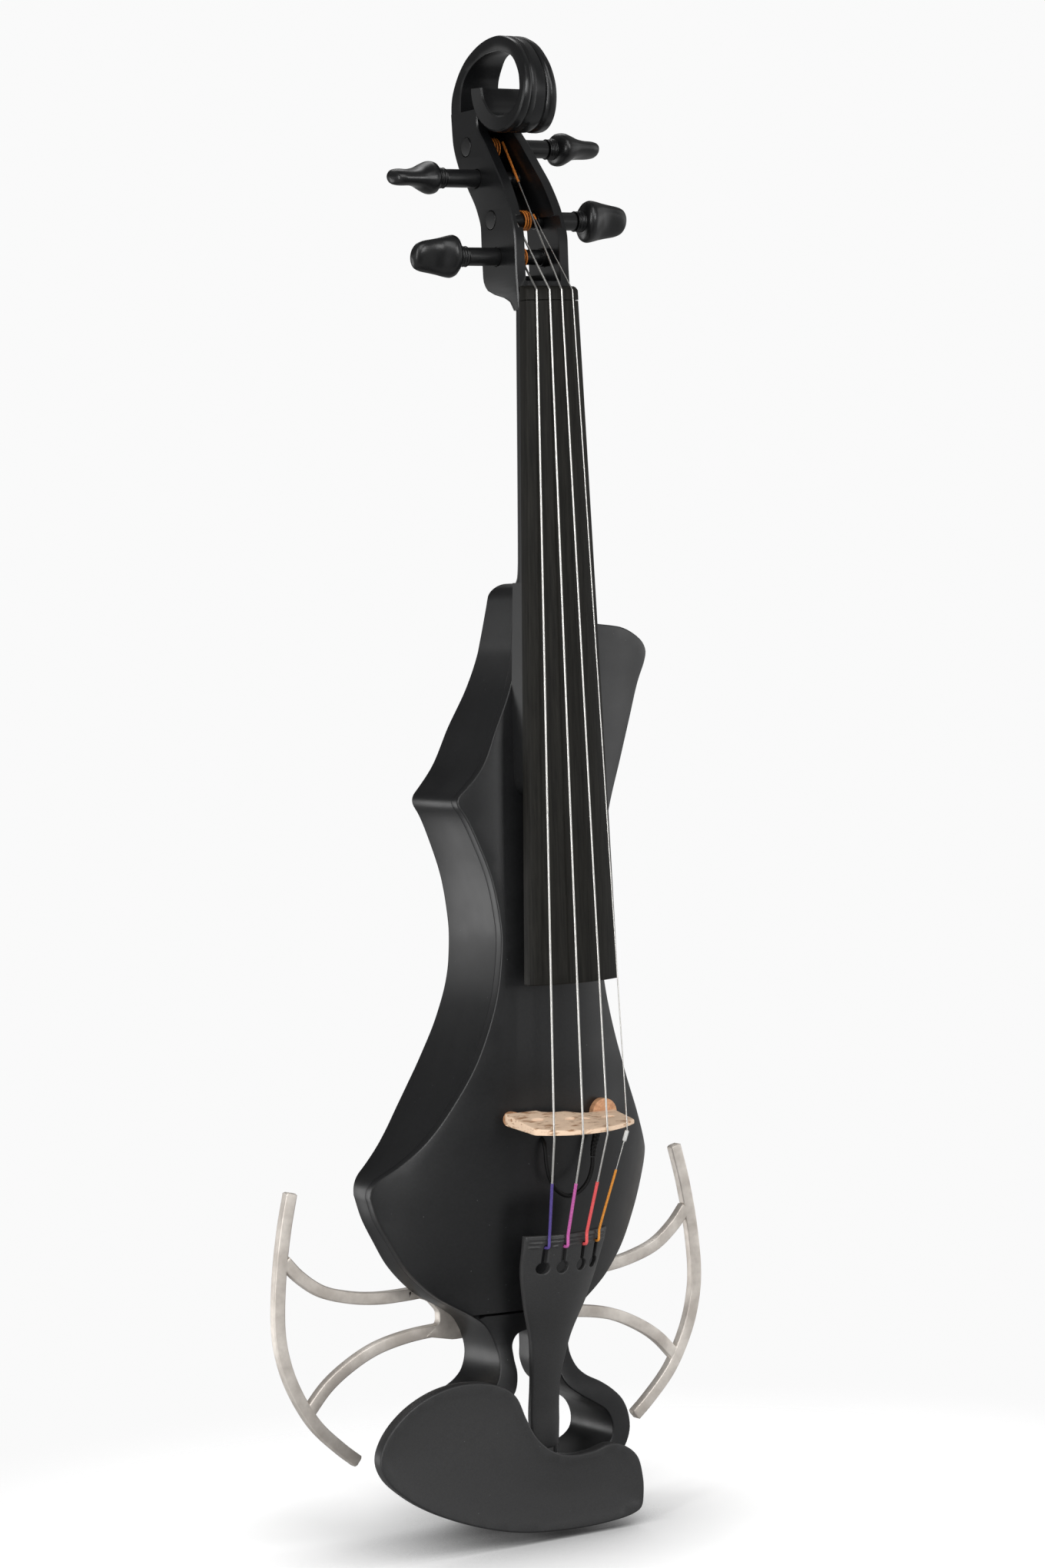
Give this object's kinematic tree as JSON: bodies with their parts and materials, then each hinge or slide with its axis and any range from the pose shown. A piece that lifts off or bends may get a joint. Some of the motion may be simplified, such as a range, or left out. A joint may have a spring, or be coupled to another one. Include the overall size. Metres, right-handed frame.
{
  "type": "electric violin",
  "caption": "Slim solid-bodied electric violin with a scrolled head, geared pegs, a bridge on pickup discs, an open tail ring, a chin rest and a curved metal arm on each side",
  "frame": {"origin": "middle of the neck under the nut, on the glued face of the fingerboard at the crest of the nut", "axes": "+Z to the scroll, -Z to the chin end, -Y out of the front where the strings run, +X to the treble side"},
  "size_m": [0.2044, 0.0886, 0.5909],
  "materials": {
    "body_black": "satin lacquer",
    "board_black": "oiled, matt",
    "cover_black": "moulded, matt",
    "peg_black": "moulded, satin",
    "rest_black": "moulded, satin",
    "tail_black": "moulded, satin",
    "frame_aluminium": "brushed and satin anodised",
    "steel": "plain",
    "string_steel": "flat wound",
    "winding_silk": "silk wrap",
    "maple": "bare, fine flecked grain",
    "disc_wood": "bare",
    "cable_black": "matt",
    "tube_clear": "clear",
    "board_green": "printed circuit board",
    "cell_case": "satin"
  },
  "bodies": {
    "violin": {"body_core": "body_black", "top_plate": "body_black", "back_cover": "cover_black", "back_cover_screw_1": "steel", "back_cover_screw_2": "steel", "back_cover_screw_3": "steel", "back_cover_screw_4": "steel", "battery_door_pin": "steel", "battery": "cell_case", "circuit_board": "board_green", "volume_pot": "frame_aluminium", "tone_pot": "frame_aluminium", "output_jack": "steel", "neck": "body_black", "fingerboard": "board_black", "nut": "board_black", "peg_barrel_g": "peg_black", "peg_barrel_d": "peg_black", "peg_barrel_a": "peg_black", "peg_barrel_e": "peg_black", "string_g": "string_steel", "string_d": "string_steel", "string_a": "string_steel", "string_e": "string_steel", "string_tube": "tube_clear", "bridge": "maple", "pickup_disc_bass": "disc_wood", "pickup_disc_treble": "disc_wood", "pickup_cable": "cable_black", "cable_boot": "cable_black", "tailpiece": "tail_black", "tail_cord": "tail_black", "end_button": "tail_black", "chin_rest": "rest_black", "chin_clamp_foot": "steel", "chin_barrel_1": "steel", "chin_barrel_2": "steel", "left_frame": "frame_aluminium", "left_frame_screw_1": "steel", "left_frame_screw_2": "steel", "right_frame": "frame_aluminium", "right_frame_screw_1": "steel", "right_frame_screw_2": "steel"},
    "battery_door": {"battery_door": "cover_black"},
    "volume_knob": {"volume_knob": "cover_black"},
    "tone_knob": {"tone_knob": "cover_black"},
    "peg_g": {"peg_head_g": "peg_black"},
    "drum_g": {"string_drum_g": "peg_black", "winding_g": "winding_silk"},
    "peg_d": {"peg_head_d": "peg_black"},
    "drum_d": {"string_drum_d": "peg_black", "winding_d": "winding_silk"},
    "peg_a": {"peg_head_a": "peg_black"},
    "drum_a": {"string_drum_a": "peg_black", "winding_a": "winding_silk"},
    "peg_e": {"peg_head_e": "peg_black"},
    "drum_e": {"string_drum_e": "peg_black", "winding_e": "winding_silk"}
  },
  "joints": [
    {"name": "door_hinge", "type": "hinge", "parent": "violin", "child": "battery_door", "pos_m": [-0.00575, 0.067, -0.3494], "axis": [1, 0, 0], "range_deg": [0, 90]},
    {"name": "volume_turn", "type": "hinge", "parent": "violin", "child": "volume_knob", "pos_m": [-0.013, 0.07, -0.3375], "axis": [0, -1, 0], "range_deg": [0, 300]},
    {"name": "tone_turn", "type": "hinge", "parent": "violin", "child": "tone_knob", "pos_m": [0.013, 0.07, -0.3375], "axis": [0, -1, 0], "range_deg": [0, 300]},
    {"name": "peg_g_turn", "type": "hinge", "parent": "violin", "child": "peg_g", "pos_m": [0, 0.0153, 0.01458], "axis": [-1, 0, 0], "continuous": true},
    {"name": "drum_g_turn", "type": "hinge", "parent": "violin", "child": "drum_g", "pos_m": [0, 0.0153, 0.01458], "axis": [-1, 0, 0], "continuous": true},
    {"name": "peg_d_turn", "type": "hinge", "parent": "violin", "child": "peg_d", "pos_m": [0, 0.02978, 0.04655], "axis": [-1, 0, 0], "continuous": true},
    {"name": "drum_d_turn", "type": "hinge", "parent": "violin", "child": "drum_d", "pos_m": [0, 0.02978, 0.04655], "axis": [-1, 0, 0], "continuous": true},
    {"name": "peg_a_turn", "type": "hinge", "parent": "violin", "child": "peg_a", "pos_m": [0, 0.03779, 0.05979], "axis": [-1, 0, 0], "continuous": true},
    {"name": "drum_a_turn", "type": "hinge", "parent": "violin", "child": "drum_a", "pos_m": [0, 0.03779, 0.05979], "axis": [-1, 0, 0], "continuous": true},
    {"name": "peg_e_turn", "type": "hinge", "parent": "violin", "child": "peg_e", "pos_m": [0, 0.01892, 0.02923], "axis": [-1, 0, 0], "continuous": true},
    {"name": "drum_e_turn", "type": "hinge", "parent": "violin", "child": "drum_e", "pos_m": [0, 0.01892, 0.02923], "axis": [-1, 0, 0], "continuous": true}
  ],
  "couplings": [
    {"joint": "drum_g_turn", "follows": "peg_g_turn", "ratio": 0.11765},
    {"joint": "drum_d_turn", "follows": "peg_d_turn", "ratio": 0.11765},
    {"joint": "drum_a_turn", "follows": "peg_a_turn", "ratio": 0.11765},
    {"joint": "drum_e_turn", "follows": "peg_e_turn", "ratio": 0.11765}
  ]
}
